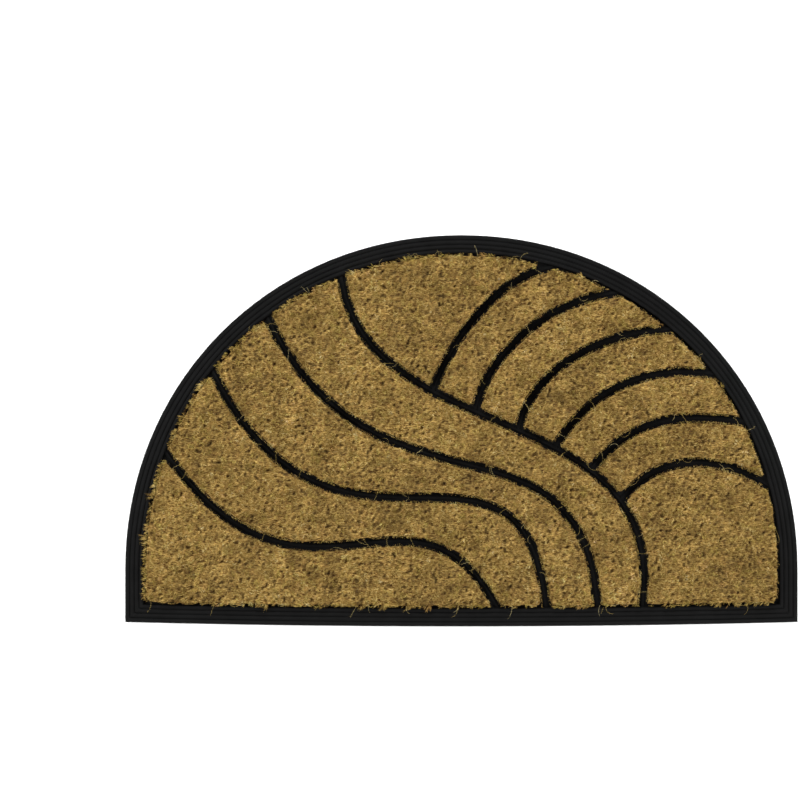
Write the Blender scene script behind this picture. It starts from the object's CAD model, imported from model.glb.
import math

import bmesh
import bpy
import numpy as np
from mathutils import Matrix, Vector, noise
from mathutils.bvhtree import BVHTree
from mathutils.kdtree import KDTree


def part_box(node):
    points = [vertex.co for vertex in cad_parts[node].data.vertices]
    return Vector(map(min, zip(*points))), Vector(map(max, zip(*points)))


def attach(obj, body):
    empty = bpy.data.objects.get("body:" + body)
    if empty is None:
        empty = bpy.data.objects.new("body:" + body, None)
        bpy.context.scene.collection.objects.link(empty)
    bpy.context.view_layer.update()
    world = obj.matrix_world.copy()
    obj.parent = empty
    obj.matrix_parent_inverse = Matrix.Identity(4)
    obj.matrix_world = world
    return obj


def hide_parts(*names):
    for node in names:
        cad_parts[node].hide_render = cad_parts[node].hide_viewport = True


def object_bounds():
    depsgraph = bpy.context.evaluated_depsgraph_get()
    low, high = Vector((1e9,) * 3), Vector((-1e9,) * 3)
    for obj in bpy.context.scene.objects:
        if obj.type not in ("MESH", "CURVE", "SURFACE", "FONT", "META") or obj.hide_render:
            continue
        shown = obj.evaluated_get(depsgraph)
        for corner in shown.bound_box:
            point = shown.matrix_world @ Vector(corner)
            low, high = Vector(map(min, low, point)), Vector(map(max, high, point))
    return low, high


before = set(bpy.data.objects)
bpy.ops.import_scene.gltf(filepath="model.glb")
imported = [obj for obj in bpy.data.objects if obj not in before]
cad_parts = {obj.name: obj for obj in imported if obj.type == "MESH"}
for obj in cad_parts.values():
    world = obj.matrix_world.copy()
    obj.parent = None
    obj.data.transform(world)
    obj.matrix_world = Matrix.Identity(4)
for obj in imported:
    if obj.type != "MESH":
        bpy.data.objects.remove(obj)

CAD_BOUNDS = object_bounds()
MM = 0.001
SEED = 20
SMOOTH_ANGLE = 50
WELD = 0.001 * MM
WALL_SLOPE = 0.5
TOP_SLOPE = 0.3
RIM_STEP = 0.5 * MM
ABOVE_ALL = 100 * MM

# Camera, straight above
FRAME_PIXELS = 800
METRES_PER_PIXEL = 0.0010335
MAT_CENTRE_PIXEL = (461.4, 430.73)
LENS = 100.0
SENSOR = 36.0
EDGE_HEIGHT = 2.6 * MM

# Studio lights, low and all round, so that the channels beside the ribs stay dark
WORLD_STRENGTH = 0.3
FLOOR_SIZE = 6
FLOOR_DROP = 0.3 * MM
FLOOR_ALBEDO = 0.93
SOFTBOX_SIZE = 1.2
# name, place, power
SOFTBOXES = (
    ("light_left", (-2.4, 0.5, 1.5), 95),
    ("light_right", (2.4, 0.3, 1.5), 80),
    ("light_back", (-0.4, 2.4, 1.6), 95),
    ("light_front", (0.4, -2.4, 1.5), 75),
)

# Packed bed of the pile, with a dome under each tuft
BED_CELL = 2.0 * MM
BED_DROP = 2.4 * MM
BED_INSET = 1.9 * MM
SHARPEST_MITRE = 0.35
DOME_RISE = 0.6 * MM
DOME_FALL = 0.17
DOME_DEPTH = 1.6 * MM
GAP_REACH = 1.4
GAP_SHADE = 0.42
PATCH_SHADE = 1.5

# Tufts
TUFT_SPACING = 5.2 * MM
TUFT_JITTER = 0.34
RIM_CLEARANCE = 4.0 * MM
RIM_TUFT_SPACING = 3.4 * MM
RIM_TUFT_INSET = 1.7 * MM
RIM_INSET_SPREAD = (-0.3, 0.9)
RIM_SPACING_SPREAD = (0.75, 1.1)
CORNER_REACH = 5 * MM
CORNER_INSET = 5.0 * MM
RIB_SIDE_GAP = 10 * MM
PILE_LEAN = (-0.9 * MM, -0.4 * MM)
RIM_LEAN = (-1.9 * MM, 0.2 * MM)
FLOW_SIZE = 30 * MM
FLOW_OFFSETS = (21.9, 34.4)
FLOW_LEAN = 1.6
LEAN_SPREAD = 0.8
RIM_LEAN_SHARE = 0.35
SCALLOP_SIZE = 13 * MM
SCALLOP_OFFSET = 44.4
SCALLOP_STRENGTH = 1.6
SCALLOP_LIMITS = (0.2, 3)
BORDER_REACH = (2.0, 0.6)
BORDER_HOLD = 1.7
RIB_REACH = (0.3, 0.4)
RISE_SPREAD = 0.7
TUFT_TONE_SPREAD = 0.10

# Patches of tone: size, place in the noise, strength
TONE_PATCHES = (
    (45 * MM, 12.3, 0.13),
    (14 * MM, 5.1, 0.24),
)

# Pits, where the tufts part
PIT_SPACING = 9 * MM
PIT_RADIUS = 2.3 * MM
PIT_DEPTH = 2.6 * MM
PIT_SHADE = 0.92
PIT_CLEARED = 0.2

# Fibres of a tuft, which stand in locks
FIBRES_PER_TUFT = 33
LOCKS_PER_TUFT = 7
TUFT_RADIUS = 2.5 * MM
TUFT_DOME = 0.16
LEAN_FALL = 0.05
DEEPEST_FALL = 2.2 * MM
LEAST_RISE = 0.8 * MM
ROOT_DEPTH = 0.6 * MM
SIDE_REACH = 1.5 * MM
SIDE_ROOT_HEIGHT = 4.4 * MM
PULLED_IN = 0.3
RIB_PULLED_IN = 0.45
RIB_SPLAY = 0.4
SPLAY = 0.65
LOCK_SPLAY = 1.3
FIBRE_SPLAY = 0.8
LOCK_LEAN_SPREAD = 0.9
LOCK_TONE_SPREAD = 0.10
FIBRE_TONE_SPREAD = 0.09
FIBRE_RISE_SPREAD = 0.45
MEAN_TONE = 0.5
LIGHTEST_TONE = 0.999
MIDDLE_TONE = 0.08
TONE_FALL = 0.22
BEND_SHIFT = 0.42
BEND_HEIGHT = 0.74
BLADE_TILT = 0.3
SHORTEST = 1e-9
FIBRE_WIDTHS = (0.30, 0.62)

# Stray fibres that curl over the rubber
STRAY_SPACING = 80 * MM
STRAY_LENGTHS = (6, 14)
STRAY_INSET = 3 * MM
STRAY_SINK = 1.0 * MM
STRAY_ARCH = 3.0 * MM
STRAY_ARCH_TURN = 0.75 * math.pi
STRAY_HEADING = 0.6
STRAY_CURL = 1.3
STRAY_WIDTH = 0.20 * MM
STRAY_TAPER = 0.6
STRAY_STEPS = 6
STRAY_SIDES = 3
STRAY_TONES = (0.55, 0.95)

# Colours
FIBRE_MAP = "OFBake"
MAP_COLUMNS = 96
MAP_MARGIN = 0.04
HUE_SHARES = (0.50, 0.20, 0.22, 0.08)
HUE_TINTS = (
    (0.99, 1.00, 0.95),
    (0.98, 0.94, 0.84),
    (0.94, 0.98, 0.75),
    (0.98, 0.86, 0.82),
)
BED_SHADE = "shade"
STROKE_TURNS = (15, 75, 135)
STROKE_SCALE = (280, 1700, 280)


def srgb(red, green, blue):
    """A screen colour in steps of 0 to 255, as linear light."""
    def linear(value):
        value /= 255
        return value / 12.92 if value <= 0.04045 else ((value + 0.055) / 1.055) ** 2.4
    return linear(red), linear(green), linear(blue), 1.0


def add_node(tree, kind, place, **inputs):
    node = tree.nodes.new(kind)
    node.location = place
    for name, value in inputs.items():
        node.inputs[name.replace("_", " ")].default_value = value
    return node


def new_material(name, roughness):
    material = bpy.data.materials.new(name)
    material.use_nodes = True
    shader = material.node_tree.nodes["Principled BSDF"]
    shader.inputs["Roughness"].default_value = roughness
    return material, material.node_tree, shader


def set_ramp(ramp, stops):
    elements = ramp.color_ramp.elements
    while len(elements) < len(stops):
        elements.new(0.5)
    for element, (position, colour) in zip(elements, stops):
        element.position = position
        element.color = colour


def multiply(tree, place, first, second):
    """One colour times another."""
    mixed = add_node(tree, "ShaderNodeMix", place)
    mixed.data_type = "RGBA"
    mixed.blend_type = "MULTIPLY"
    mixed.inputs["Factor"].default_value = 1.0
    tree.links.new(first, mixed.inputs[6])
    tree.links.new(second, mixed.inputs[7])
    return mixed.outputs[2]


def math_node(tree, operation, place, first, second=None):
    node = tree.nodes.new("ShaderNodeMath")
    node.operation = operation
    node.location = place
    tree.links.new(first, node.inputs[0])
    if second is not None:
        node.inputs[1].default_value = second
    return node.outputs[0]


def coir_material():
    """Colour by the fibres' map: tone across it, and up it one band a hue, from root to tip."""
    material, tree, shader = new_material("coir_fibre", roughness=0.75)
    shader.inputs["Specular IOR Level"].default_value = 0.25
    uv = add_node(tree, "ShaderNodeUVMap", (-1300, 0))
    uv.uv_map = FIBRE_MAP
    split = add_node(tree, "ShaderNodeSeparateXYZ", (-1100, 0))
    tree.links.new(uv.outputs["UV"], split.inputs["Vector"])
    tone = add_node(tree, "ShaderNodeValToRGB", (-600, 300))
    set_ramp(tone, (
        (0.00, srgb(72, 47, 23)),
        (0.25, srgb(138, 110, 53)),
        (0.50, srgb(179, 151, 83)),
        (0.75, srgb(199, 174, 104)),
        (1.00, srgb(222, 206, 158)),
    ))
    tree.links.new(split.outputs["X"], tone.inputs["Fac"])
    bands = math_node(tree, "MULTIPLY", (-900, -150), split.outputs["Y"], len(HUE_TINTS))
    hue = add_node(tree, "ShaderNodeValToRGB", (-600, 50))
    hue.color_ramp.interpolation = "CONSTANT"
    stops = [(index / len(HUE_TINTS), (*tint, 1.0)) for index, tint in enumerate(HUE_TINTS)]
    set_ramp(hue, stops)
    tree.links.new(split.outputs["Y"], hue.inputs["Fac"])
    rise = math_node(tree, "FRACT", (-750, -250), bands)
    shade = add_node(tree, "ShaderNodeMapRange", (-600, -250), To_Min=0.6)
    tree.links.new(rise, shade.inputs["Value"])
    tinted = multiply(tree, (-300, 200), tone.outputs["Color"], hue.outputs["Color"])
    colour = multiply(tree, (-150, 100), tinted, shade.outputs["Result"])
    tree.links.new(colour, shader.inputs["Base Color"])
    return material


def bed_material():
    """Matted fibres: patches of strokes in three directions, darker between tufts and in pits."""
    material, tree, shader = new_material("coir_bed", roughness=0.9)
    shader.inputs["Specular IOR Level"].default_value = 0.1
    place = add_node(tree, "ShaderNodeTexCoord", (-1500, 0))
    patch = add_node(tree, "ShaderNodeTexVoronoi", (-1100, 500), Scale=240.0)
    tree.links.new(place.outputs["Object"], patch.inputs["Vector"])
    choice = add_node(tree, "ShaderNodeSeparateXYZ", (-900, 500))
    tree.links.new(patch.outputs["Color"], choice.inputs["Vector"])
    strokes = None
    for number, turn in enumerate(STROKE_TURNS):
        level = -250 * number
        turned = add_node(tree, "ShaderNodeMapping", (-1300, level), Scale=STROKE_SCALE)
        turned.inputs["Rotation"].default_value = (0, 0, math.radians(turn))
        tree.links.new(place.outputs["Object"], turned.inputs["Vector"])
        grain = add_node(tree, "ShaderNodeTexNoise", (-1100, level), Scale=1.0, Detail=2.0)
        tree.links.new(turned.outputs["Vector"], grain.inputs["Vector"])
        if strokes is None:
            strokes = grain.outputs["Fac"]
            continue
        share = number / len(STROKE_TURNS)
        chosen = math_node(tree, "GREATER_THAN", (-900, level), choice.outputs["X"], share)
        mixed = add_node(tree, "ShaderNodeMix", (-700, level))
        tree.links.new(chosen, mixed.inputs["Factor"])
        tree.links.new(strokes, mixed.inputs[2])
        tree.links.new(grain.outputs["Fac"], mixed.inputs[3])
        strokes = mixed.outputs[0]
    ramp = add_node(tree, "ShaderNodeValToRGB", (-500, 0))
    set_ramp(ramp, ((0.34, srgb(62, 35, 16)), (0.50, srgb(127, 99, 50)), (0.66, srgb(176, 148, 86))))
    tree.links.new(strokes, ramp.inputs["Fac"])
    shade = add_node(tree, "ShaderNodeAttribute", (-500, 250))
    shade.attribute_name = BED_SHADE
    colour = multiply(tree, (-200, 100), ramp.outputs["Color"], shade.outputs["Fac"])
    tree.links.new(colour, shader.inputs["Base Color"])
    bump = add_node(tree, "ShaderNodeBump", (-200, -250), Strength=0.9, Distance=0.0006)
    tree.links.new(strokes, bump.inputs["Height"])
    tree.links.new(bump.outputs["Normal"], shader.inputs["Normal"])
    return material


def rubber_material():
    """Black moulded rubber with a faint cloudiness and a fine grain."""
    material, tree, shader = new_material("black_rubber", roughness=0.7)
    shader.inputs["Specular IOR Level"].default_value = 0.06
    place = add_node(tree, "ShaderNodeTexCoord", (-1100, 0))
    cloud = add_node(tree, "ShaderNodeTexNoise", (-850, 200), Scale=60.0, Detail=5.0)
    grain = add_node(tree, "ShaderNodeTexNoise", (-850, -200), Scale=1600.0, Detail=3.0)
    for texture in (cloud, grain):
        tree.links.new(place.outputs["Object"], texture.inputs["Vector"])
    ramp = add_node(tree, "ShaderNodeValToRGB", (-500, 200))
    set_ramp(ramp, ((0.35, srgb(6, 6, 6)), (0.65, srgb(9, 9, 9))))
    tree.links.new(cloud.outputs["Fac"], ramp.inputs["Fac"])
    tree.links.new(ramp.outputs["Color"], shader.inputs["Base Color"])
    bump = add_node(tree, "ShaderNodeBump", (-200, -250), Strength=0.35, Distance=0.0003)
    tree.links.new(grain.outputs["Fac"], bump.inputs["Height"])
    tree.links.new(bump.outputs["Normal"], shader.inputs["Normal"])
    return material


def mesh_from_arrays(name, points, corners, uvs):
    """A triangle mesh from arrays of points, corner indices and map places."""
    mesh = bpy.data.meshes.new(name)
    mesh.vertices.add(len(points))
    mesh.vertices.foreach_set("co", np.asarray(points, np.float32).ravel())
    mesh.loops.add(corners.size)
    mesh.loops.foreach_set("vertex_index", np.asarray(corners, np.int32).ravel())
    mesh.polygons.add(len(corners))
    mesh.polygons.foreach_set("loop_start", np.arange(0, corners.size, 3, dtype=np.int32))
    layer = mesh.uv_layers.new(name=FIBRE_MAP)
    layer.uv.foreach_set("vector", np.asarray(uvs, np.float32).ravel())
    mesh.update(calc_edges=True)
    return mesh


def flat_tree(points):
    """A search tree of the points as seen from above."""
    tree = KDTree(len(points))
    for index, point in enumerate(points):
        tree.insert((point.x, point.y, 0), index)
    tree.balance()
    return tree


def welded(node):
    """The mesh of a solid with its doubled points joined."""
    bm = bmesh.new()
    bm.from_mesh(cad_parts[node].data)
    bmesh.ops.remove_doubles(bm, verts=bm.verts, dist=WELD)
    bm.normal_update()
    return bm


class Area:
    """One area of pile as the solids give it: its surface, its rim and which way each faces."""

    def __init__(self, node):
        self.name = node
        self.low, self.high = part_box(node)
        self.middle = (self.low[2] + self.high[2]) / 2
        bm = welded(node)
        self.tree = BVHTree.FromBMesh(bm)
        rim_points, rim_normals = [], []
        for edge in bm.edges:
            slopes = [face.normal.z for face in edge.link_faces]
            if len(slopes) != 2 or not max(slopes) > WALL_SLOPE > min(slopes):
                continue
            a, b = edge.verts[0].co, edge.verts[1].co
            if min(a.z, b.z) < self.middle:
                continue
            wall = min(edge.link_faces, key=lambda face: face.normal.z)
            outward = Vector((wall.normal.x, wall.normal.y, 0)).normalized()
            count = max(1, math.ceil((b - a).length / RIM_STEP))
            for i in range(count):
                rim_points.append(a.lerp(b, (i + 0.5) / count))
                rim_normals.append(outward)
        upward = [face for face in bm.faces if face.normal.z > 0]
        self.plan_area = sum(face.calc_area() * face.normal.z for face in upward)
        self.rim_normals = rim_normals
        self.rim_points = rim_points
        self.rim = flat_tree(rim_points)
        bm.free()

    def cut_size(self):
        """Width and length of the straight strip with this area and this length of rim."""
        half_rim = len(self.rim_points) * RIM_STEP / 2
        spread = math.sqrt(max(half_rim ** 2 / 4 - self.plan_area, 0))
        return self.plan_area / (half_rim / 2 + spread), half_rim / 2 + spread

    def top(self, x, y):
        """The height of the pile's surface at a place, or None off the area."""
        hit, normal, _, _ = self.tree.ray_cast(Vector((x, y, ABOVE_ALL)), Vector((0, 0, -1)))
        if hit is None or normal.z < TOP_SLOPE:
            return None
        return hit.z

    def near_top(self, x, y):
        """The height of the surface at a place, or of the nearest rim off the area."""
        height = self.top(x, y)
        if height is None:
            return self.rim_points[self.rim.find((x, y, 0))[1]].z
        return height


class Pile:
    """The tufts and pits of an area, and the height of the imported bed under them."""

    def __init__(self, area, other_rims, rng):
        self.area = area
        tufts = tuft_places(area, other_rims, rng)
        self.places = tufts[:, :2]
        self.outward = tufts[:, 2:4]
        self.on_rim = np.abs(self.outward).sum(axis=1) > 0
        self.by_rib = tufts[:, 4] > 0
        self.tuft_tree = flat_tree([Vector((x, y, 0)) for x, y in self.places])
        pits = [pit for pit in pit_places(area, rng) if area.top(pit.x, pit.y) is not None]
        self.pit_tree = flat_tree(pits)

    def off_tuft(self, x, y):
        """How far a place lies from the nearest tuft's middle."""
        return self.tuft_tree.find((x, y, 0))[2]

    def pit_depth(self, x, y):
        """How deep a place lies in a pit, from 0 outside to 1 at its middle."""
        return max(0.0, 1 - self.pit_tree.find((x, y, 0))[2] / PIT_RADIUS)

    def bed_height(self, x, y):
        """The height of the bed at a place."""
        dome = max(DOME_RISE - DOME_FALL * (self.off_tuft(x, y) / MM) ** 2 * MM, -DOME_DEPTH)
        return self.area.near_top(x, y) - BED_DROP + dome - PIT_DEPTH * self.pit_depth(x, y)

    def bed_shade(self, x, y):
        """How light the bed is at a place: darker between tufts and in pits."""
        gap = min(1.0, (self.off_tuft(x, y) / TUFT_SPACING * GAP_REACH) ** 2)
        patch = 1 + PATCH_SHADE * patch_tone(x, y)
        return patch * (1 - GAP_SHADE * gap) * (1 - PIT_SHADE * self.pit_depth(x, y))


def body_of(area):
    """The solid of an area with its top lowered and its walls drawn in."""
    bm = welded(area.name)
    moves = []
    for vert in bm.verts:
        walls = [face for face in vert.link_faces if abs(face.normal.z) < WALL_SLOPE]
        sides = [face.normal.xy.normalized() for face in walls]
        move = Vector((0, 0, 0))
        if sides:
            outward = sum(sides, Vector((0, 0))) / len(sides)
            inset = BED_INSET / max(outward.length_squared, SHARPEST_MITRE)
            move = Vector((-outward.x, -outward.y, 0)) * inset
        if vert.co.z > area.middle:
            move.z = -BED_DROP
        moves.append(move)
    for vert, move in zip(bm.verts, moves):
        vert.co += move
    mesh = bpy.data.meshes.new(f"{area.name}_body")
    bm.to_mesh(mesh)
    bm.free()
    return mesh


def evenly_meshed(mesh):
    """The same body in even cells, with one face for its flat underside."""
    holder = bpy.data.objects.new(mesh.name, mesh)
    bpy.context.scene.collection.objects.link(holder)
    cells = holder.modifiers.new("cells", "REMESH")
    cells.mode = "VOXEL"
    cells.voxel_size = BED_CELL
    graph = bpy.context.evaluated_depsgraph_get()
    fine = bpy.data.meshes.new_from_object(holder.evaluated_get(graph))
    bpy.data.objects.remove(holder)
    bpy.data.meshes.remove(mesh)
    bm = bmesh.new()
    bm.from_mesh(fine)
    bm.normal_update()
    base = min(vert.co.z for vert in bm.verts) + BED_CELL / 4
    under = [face for face in bm.faces if all(vert.co.z < base for vert in face.verts)]
    bmesh.ops.delete(bm, geom=under, context="FACES")
    open_edges = [edge for edge in bm.edges if edge.is_boundary]
    bmesh.ops.holes_fill(bm, edges=open_edges, sides=0)
    bmesh.ops.recalc_face_normals(bm, faces=bm.faces)
    return fine, bm


def make_bed(pile, material):
    """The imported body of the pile, which stays inside its loose ends."""
    area = pile.area
    mesh, bm = evenly_meshed(body_of(area))
    shades = []
    for vert in bm.verts:
        x, y, z = vert.co
        if vert.normal.z > TOP_SLOPE and z > area.middle:
            vert.co.z = pile.bed_height(x, y)
        shades.append(pile.bed_shade(x, y))
    bm.to_mesh(mesh)
    bm.free()
    mesh.name = f"{area.name}_bed"
    mesh.attributes.new(BED_SHADE, "FLOAT", "POINT").data.foreach_set("value", shades)
    mesh.shade_smooth()
    mesh.set_sharp_from_angle(angle=math.radians(SMOOTH_ANGLE))
    mesh.materials.clear()
    mesh.materials.append(material)
    bed = bpy.data.objects.new(mesh.name, mesh)
    bpy.context.scene.collection.objects.link(bed)
    return bed


def tuft_places(area, other_rims, rng):
    """Tuft centres: a jittered grid inside the area, and a row along its rim.

    Each is its place, the way its rim faces (0, 0 inside the area) and 1 beside a rib.
    """
    places = []
    columns = math.ceil((area.high[0] - area.low[0]) / TUFT_SPACING)
    rows = math.ceil((area.high[1] - area.low[1]) / TUFT_SPACING)
    for column in range(columns):
        for row in range(rows):
            jitter = rng.uniform(-TUFT_JITTER, TUFT_JITTER, 2)
            offset = 0.5 * (row % 2)
            x = area.low[0] + (column + offset + jitter[0]) * TUFT_SPACING
            y = area.low[1] + (row + 0.5 + jitter[1]) * TUFT_SPACING
            if area.top(x, y) is None:
                continue
            _, _, distance = area.rim.find((x, y, 0))
            if distance > RIM_CLEARANCE:
                places.append((x, y, 0.0, 0.0, 0.0))
    taken = []
    for index in rng.permutation(len(area.rim_points)):
        point, outward = area.rim_points[index], area.rim_normals[index]
        found = area.rim.find_range((point.x, point.y, 0), CORNER_REACH)
        near = [area.rim_normals[i] for _, i, _ in found]
        turned = 1 - (sum(near, Vector((0, 0, 0))) / len(near)).length
        inset = RIM_TUFT_INSET + rng.uniform(*RIM_INSET_SPREAD) * MM + turned * CORNER_INSET
        x, y = point.x - outward.x * inset, point.y - outward.y * inset
        spaced = RIM_TUFT_SPACING * rng.uniform(*RIM_SPACING_SPREAD)
        if any((x - a) ** 2 + (y - b) ** 2 < spaced ** 2 for a, b in taken):
            continue
        if area.top(x, y) is None:
            continue
        taken.append((x, y))
        _, _, gap = other_rims.find((point.x, point.y, 0))
        places.append((x, y, outward.x, outward.y, float(gap < RIB_SIDE_GAP)))
    return np.array(places)


def pit_places(area, rng):
    """Places where the tufts part and the pile is dark."""
    (low_x, low_y, _), (high_x, high_y, _) = area.low, area.high
    count = round((high_x - low_x) * (high_y - low_y) / PIT_SPACING ** 2)
    return [
        Vector((rng.uniform(low_x, high_x), rng.uniform(low_y, high_y), 0))
        for _ in range(count)
    ]


def patch_tone(x, y):
    """How much lighter or darker the coir is in broad and in small patches."""
    return sum(
        strength * noise.noise(Vector((x / size, y / size, level)))
        for size, level, strength in TONE_PATCHES
    )


def smooth_noise(places, size, offset):
    """Noise from about -1 to 1 at each place, with features of the given size."""
    return np.array([noise.noise(Vector((x / size + offset, y / size, offset))) for x, y in places])


def bent_blades(roots, bends, tips, widths, tones, hues, rng):
    """Closed bent blades from a root through a bend to a tip, each with its own cell of the map."""
    count = len(roots)
    along = tips - roots
    turn = rng.uniform(0, 2 * math.pi, count)
    facing = np.column_stack([np.cos(turn), np.sin(turn), np.full(count, BLADE_TILT)])
    across = np.cross(along, facing)
    across /= np.maximum(np.linalg.norm(across, axis=1, keepdims=True), SHORTEST)
    half = across * widths[:, None] / 2
    points = np.stack([roots, bends - half, bends + half, tips], axis=1)
    pattern = np.array([(0, 1, 2), (1, 3, 2), (0, 3, 1), (0, 2, 3)])
    corners = np.broadcast_to(pattern, (count, 4, 3)).copy()
    a, b, c, d = points[:, 0], points[:, 1], points[:, 2], points[:, 3]
    inside_out = np.einsum("ij,ij->i", np.cross(b - a, c - a), d - a) > 0
    corners[inside_out] = corners[inside_out][:, :, ::-1]
    return points, corners, map_places(corners, tones, hues, (0.5, 0, 1, 0.5), (0, 0.5, 0.5, 1))


def map_places(corners, tones, hues, across, rise):
    """Where each face corner lies on the map. Across and rise say so for the points of one fibre."""
    column = np.minimum((tones * MAP_COLUMNS).astype(int), MAP_COLUMNS - 1)
    u_of_point = (column[:, None] + np.array(across)) / MAP_COLUMNS
    rise = MAP_MARGIN + np.array(rise) * (1 - 2 * MAP_MARGIN)
    v_of_point = (hues[:, None] + rise) / len(HUE_TINTS)
    one = np.arange(len(corners))[:, None, None]
    return np.stack([u_of_point[one, corners], v_of_point[one, corners]], axis=-1)


def stray_fibres(area, rng):
    """Long pale loose fibres that curl out over the rubber from the rim."""
    count = max(2, round(len(area.rim_points) * RIM_STEP / STRAY_SPACING))
    steps = np.linspace(0, 1, STRAY_STEPS + 1)
    upward = np.array([0.0, 0.0, 1.0])
    tubes = []
    for index in rng.integers(0, len(area.rim_points), count):
        point, outward = area.rim_points[index], area.rim_normals[index]
        heading = math.atan2(outward.y, outward.x) + rng.normal(0, STRAY_HEADING)
        turns = heading + rng.normal(0, STRAY_CURL) * steps
        stride = rng.uniform(*STRAY_LENGTHS) * MM / STRAY_STEPS
        x = point.x - outward.x * STRAY_INSET + np.cumsum(np.cos(turns)) * stride
        y = point.y - outward.y * STRAY_INSET + np.cumsum(np.sin(turns)) * stride
        z = point.z - STRAY_SINK + STRAY_ARCH * np.sin(steps * STRAY_ARCH_TURN)
        centre = np.column_stack([x, y, z])
        radius = (STRAY_WIDTH / 2 * (1 - STRAY_TAPER * steps))[:, None]
        sideways = np.column_stack([-np.sin(turns), np.cos(turns), np.zeros(len(steps))])
        rings = []
        for side in range(STRAY_SIDES):
            angle = side * 2 * math.pi / STRAY_SIDES
            rings.append(centre + (sideways * math.cos(angle) + upward * math.sin(angle)) * radius)
        tubes.append(np.stack(rings, axis=1).reshape(-1, 3))
    points = np.array(tubes)

    faces = [(0, 2, 1)]
    for step in range(STRAY_STEPS):
        base = step * STRAY_SIDES
        for side in range(STRAY_SIDES):
            a, b = base + side, base + (side + 1) % STRAY_SIDES
            faces += [(a, b, b + STRAY_SIDES), (a, b + STRAY_SIDES, a + STRAY_SIDES)]
    last = STRAY_STEPS * STRAY_SIDES
    faces.append((last, last + 1, last + 2))
    corners = np.broadcast_to(np.array(faces), (len(points), len(faces), 3)).copy()
    tones = rng.uniform(*STRAY_TONES, len(points))
    hues = np.zeros(len(points), int)
    across = (0, 0.5, 1) * (STRAY_STEPS + 1)
    rise = np.repeat(steps, STRAY_SIDES)
    return points, corners, map_places(corners, tones, hues, across, rise)


def joined_mesh(name, groups):
    """One mesh from groups of like fibres, each group as its points, faces and map places."""
    points, corners, uvs = [], [], []
    start = 0
    for group_points, group_corners, group_uvs in groups:
        count, size = group_points.shape[:2]
        first = start + np.arange(count)[:, None, None] * size
        points.append(group_points.reshape(-1, 3))
        corners.append((group_corners + first).reshape(-1, 3))
        uvs.append(group_uvs.reshape(-1, 2))
        start += count * size
    return mesh_from_arrays(name, *(np.concatenate(part) for part in (points, corners, uvs)))


def tuft_leans(pile, rng):
    """How far each tuft's tips lie from its roots, as seen from above."""
    places, count = pile.places, len(pile.places)
    flow = np.stack([smooth_noise(places, FLOW_SIZE, offset) for offset in FLOW_OFFSETS], axis=1)
    own = rng.normal(0, LEAN_SPREAD, (count, 2)) * MM
    share = np.where(pile.on_rim, RIM_LEAN_SHARE, 1.0)[:, None]
    lean = (flow * FLOW_LEAN * MM + own) * share
    scallop = 1 + SCALLOP_STRENGTH * smooth_noise(places, SCALLOP_SIZE, SCALLOP_OFFSET)
    over_border = rng.gamma(*BORDER_REACH, count) * np.clip(scallop, *SCALLOP_LIMITS)
    reach = np.where(pile.by_rib, rng.normal(*RIB_REACH, count), over_border - BORDER_HOLD)
    lean += pile.outward * (reach * MM)[:, None]
    lean[~pile.by_rib] += PILE_LEAN
    lean[pile.on_rim & ~pile.by_rib] += RIM_LEAN
    return lean


class Tuft:
    """One tuft: its own lean, height, tone and hue, and those of its locks."""

    def __init__(self, pile, index, lean, rise, tone, hue, rng):
        self.pile = pile
        self.place = pile.places[index]
        self.top = pile.area.top(*self.place) + rise
        self.lean, self.tone, self.hue = lean, tone, hue
        self.by_rib, self.on_rim = pile.by_rib[index], pile.on_rim[index]
        self.splay = RIB_SPLAY if self.by_rib else SPLAY
        self.lock_turn = rng.uniform(0, 2 * math.pi)
        self.lock_tone = rng.normal(0, LOCK_TONE_SPREAD, LOCKS_PER_TUFT)
        self.lock_lean = rng.normal(0, LOCK_LEAN_SPREAD, (LOCKS_PER_TUFT, 2)) * MM

    def fibre(self, rng):
        """The root, bend, tip, tone and hue of one fibre, or None where none grows."""
        area = self.pile.area
        angle = rng.uniform(0, 2 * math.pi)
        off_centre = TUFT_RADIUS * math.sqrt(rng.uniform())
        offset = np.array((math.cos(angle), math.sin(angle))) * off_centre
        root = self.place + offset
        if area.top(*root) is None:
            offset *= PULLED_IN
            root = self.place + offset
        if area.top(*root) is None:
            return None
        lock = int((angle + self.lock_turn) / (2 * math.pi) * LOCKS_PER_TUFT) % LOCKS_PER_TUFT
        shift = self.lean + self.lock_lean[lock] * self.splay * LOCK_SPLAY + offset * self.splay
        shift += rng.normal(0, self.splay * FIBRE_SPLAY, 2) * MM
        fall = TUFT_DOME * (off_centre / MM) ** 2 * MM
        fall += LEAN_FALL * (np.linalg.norm(shift) / MM) ** 2 * MM
        tip_z = self.top + rng.normal(0, FIBRE_RISE_SPREAD) * MM - min(fall, DEEPEST_FALL)
        edge_tone = MIDDLE_TONE - TONE_FALL * (off_centre / TUFT_RADIUS) ** 2
        own_tone = rng.normal(0, FIBRE_TONE_SPREAD)
        tone = MEAN_TONE + self.tone + self.lock_tone[lock] + edge_tone + own_tone
        if self.pile.pit_depth(*root) > PIT_CLEARED:
            return None
        if self.by_rib and area.top(*(root + shift)) is None:
            shift *= RIB_PULLED_IN
        halfway, tip = root + shift / 2, root + shift
        if max(self.pile.pit_depth(*halfway), self.pile.pit_depth(*tip)) > 0:
            shift *= PULLED_IN
        bed_top = self.pile.bed_height(*root)
        tip_z = max(tip_z, bed_top + LEAST_RISE)
        root_z = bed_top - ROOT_DEPTH
        if self.on_rim and area.rim.find((*root, 0))[2] < SIDE_REACH:
            root_z = SIDE_ROOT_HEIGHT
        bend = (*(root + shift * BEND_SHIFT), root_z + (tip_z - root_z) * BEND_HEIGHT)
        return (*root, root_z), bend, (*(root + shift), tip_z), tone, self.hue


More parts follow.
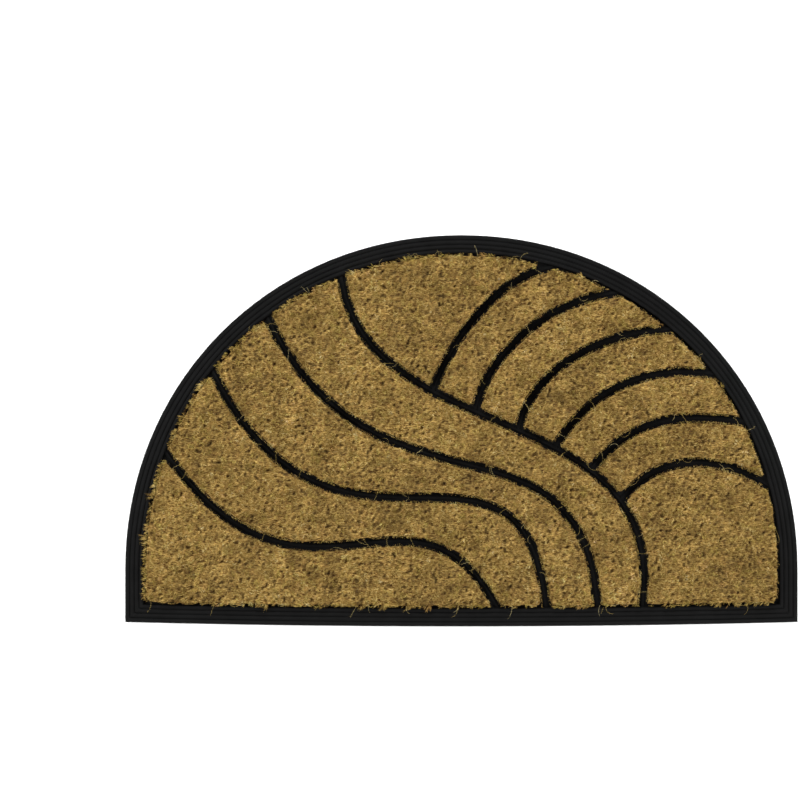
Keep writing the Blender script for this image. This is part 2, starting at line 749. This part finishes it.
def make_fibres(pile, material, rng):
    """The loose ends of the pile and its strays, as one mesh."""
    count = len(pile.places)
    leans = tuft_leans(pile, rng)
    rises = rng.normal(0, RISE_SPREAD, count) * MM
    own_tones = rng.normal(0, TUFT_TONE_SPREAD, count)
    tones = own_tones + [patch_tone(x, y) for x, y in pile.places]
    hues = rng.choice(len(HUE_TINTS), count, p=HUE_SHARES)
    fibres = []
    for index in range(count):
        tuft = Tuft(pile, index, leans[index], rises[index], tones[index], hues[index], rng)
        fibres += [tuft.fibre(rng) for _ in range(FIBRES_PER_TUFT)]
    columns = zip(*(fibre for fibre in fibres if fibre is not None))
    roots, bends, tips, fibre_tones, fibre_hues = (np.array(column) for column in columns)
    widths = rng.uniform(*FIBRE_WIDTHS, len(roots)) * MM
    fibre_tones = np.clip(fibre_tones, 0.0, LIGHTEST_TONE)
    blades = bent_blades(roots, bends, tips, widths, fibre_tones, fibre_hues, rng)
    mesh = joined_mesh(f"{pile.area.name}_fibres", (blades, stray_fibres(pile.area, rng)))
    mesh.materials.append(material)
    loose = bpy.data.objects.new(mesh.name, mesh)
    bpy.context.scene.collection.objects.link(loose)
    return loose


def make_camera():
    data = bpy.data.cameras.new("camera")
    data.lens = LENS
    data.sensor_width = SENSOR
    camera = bpy.data.objects.new("camera", data)
    bpy.context.scene.collection.objects.link(camera)
    low, high = CAD_BOUNDS
    middle_x = (low[0] + high[0]) / 2
    middle_y = (low[1] + high[1]) / 2
    distance = METRES_PER_PIXEL * FRAME_PIXELS * LENS / SENSOR
    frame_centre = FRAME_PIXELS / 2
    camera.location = (
        middle_x + (frame_centre - MAT_CENTRE_PIXEL[0]) * METRES_PER_PIXEL,
        middle_y + (MAT_CENTRE_PIXEL[1] - frame_centre) * METRES_PER_PIXEL,
        EDGE_HEIGHT + distance,
    )
    bpy.context.scene.camera = camera


def area_light(name, place, size, energy):
    data = bpy.data.lights.new(name, "AREA")
    data.shape = "DISK"
    data.size = size
    data.energy = energy
    light = bpy.data.objects.new(name, data)
    bpy.context.scene.collection.objects.link(light)
    light.location = place
    light.rotation_euler = (-Vector(place)).to_track_quat("-Z", "Y").to_euler()


def make_studio():
    world = bpy.data.worlds.new("studio")
    bpy.context.scene.world = world
    world.use_nodes = True
    background = world.node_tree.nodes["Background"]
    background.inputs["Color"].default_value = (1, 1, 1, 1)
    background.inputs["Strength"].default_value = WORLD_STRENGTH
    for name, place, energy in SOFTBOXES:
        area_light(name, place, SOFTBOX_SIZE, energy)

    bm = bmesh.new()
    bmesh.ops.create_grid(bm, x_segments=1, y_segments=1, size=FLOOR_SIZE)
    mesh = bpy.data.meshes.new("floor")
    bm.to_mesh(mesh)
    bm.free()
    floor = bpy.data.objects.new("floor", mesh)
    bpy.context.scene.collection.objects.link(floor)
    floor.location.z = -FLOOR_DROP
    material, _, shader = new_material("pale_floor", roughness=0.9)
    shader.inputs["Base Color"].default_value = (FLOOR_ALBEDO, FLOOR_ALBEDO, FLOOR_ALBEDO, 1)
    mesh.materials.append(material)


def main():
    bpy.context.scene.view_settings.view_transform = "Standard"
    make_camera()
    make_studio()

    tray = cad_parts["rubber_tray"]
    tray.data.materials.clear()
    tray.data.materials.append(rubber_material())
    tray.data.shade_smooth()
    tray.data.set_sharp_from_angle(angle=math.radians(SMOOTH_ANGLE))

    bed_finish = bed_material()
    fibre_finish = coir_material()
    coir_nodes = sorted(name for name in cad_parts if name.startswith("coir_"))
    areas = [Area(node) for node in coir_nodes]
    for number, area in enumerate(areas):
        rng = np.random.default_rng(SEED + number)
        others = [point for other in areas if other is not area for point in other.rim_points]
        pile = Pile(area, flat_tree(others), rng)
        bed = make_bed(pile, bed_finish)
        fibres = make_fibres(pile, fibre_finish, rng)
        for piece in (bed, fibres):
            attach(piece, "root")
        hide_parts(area.name)
        area.cut_size()


main()
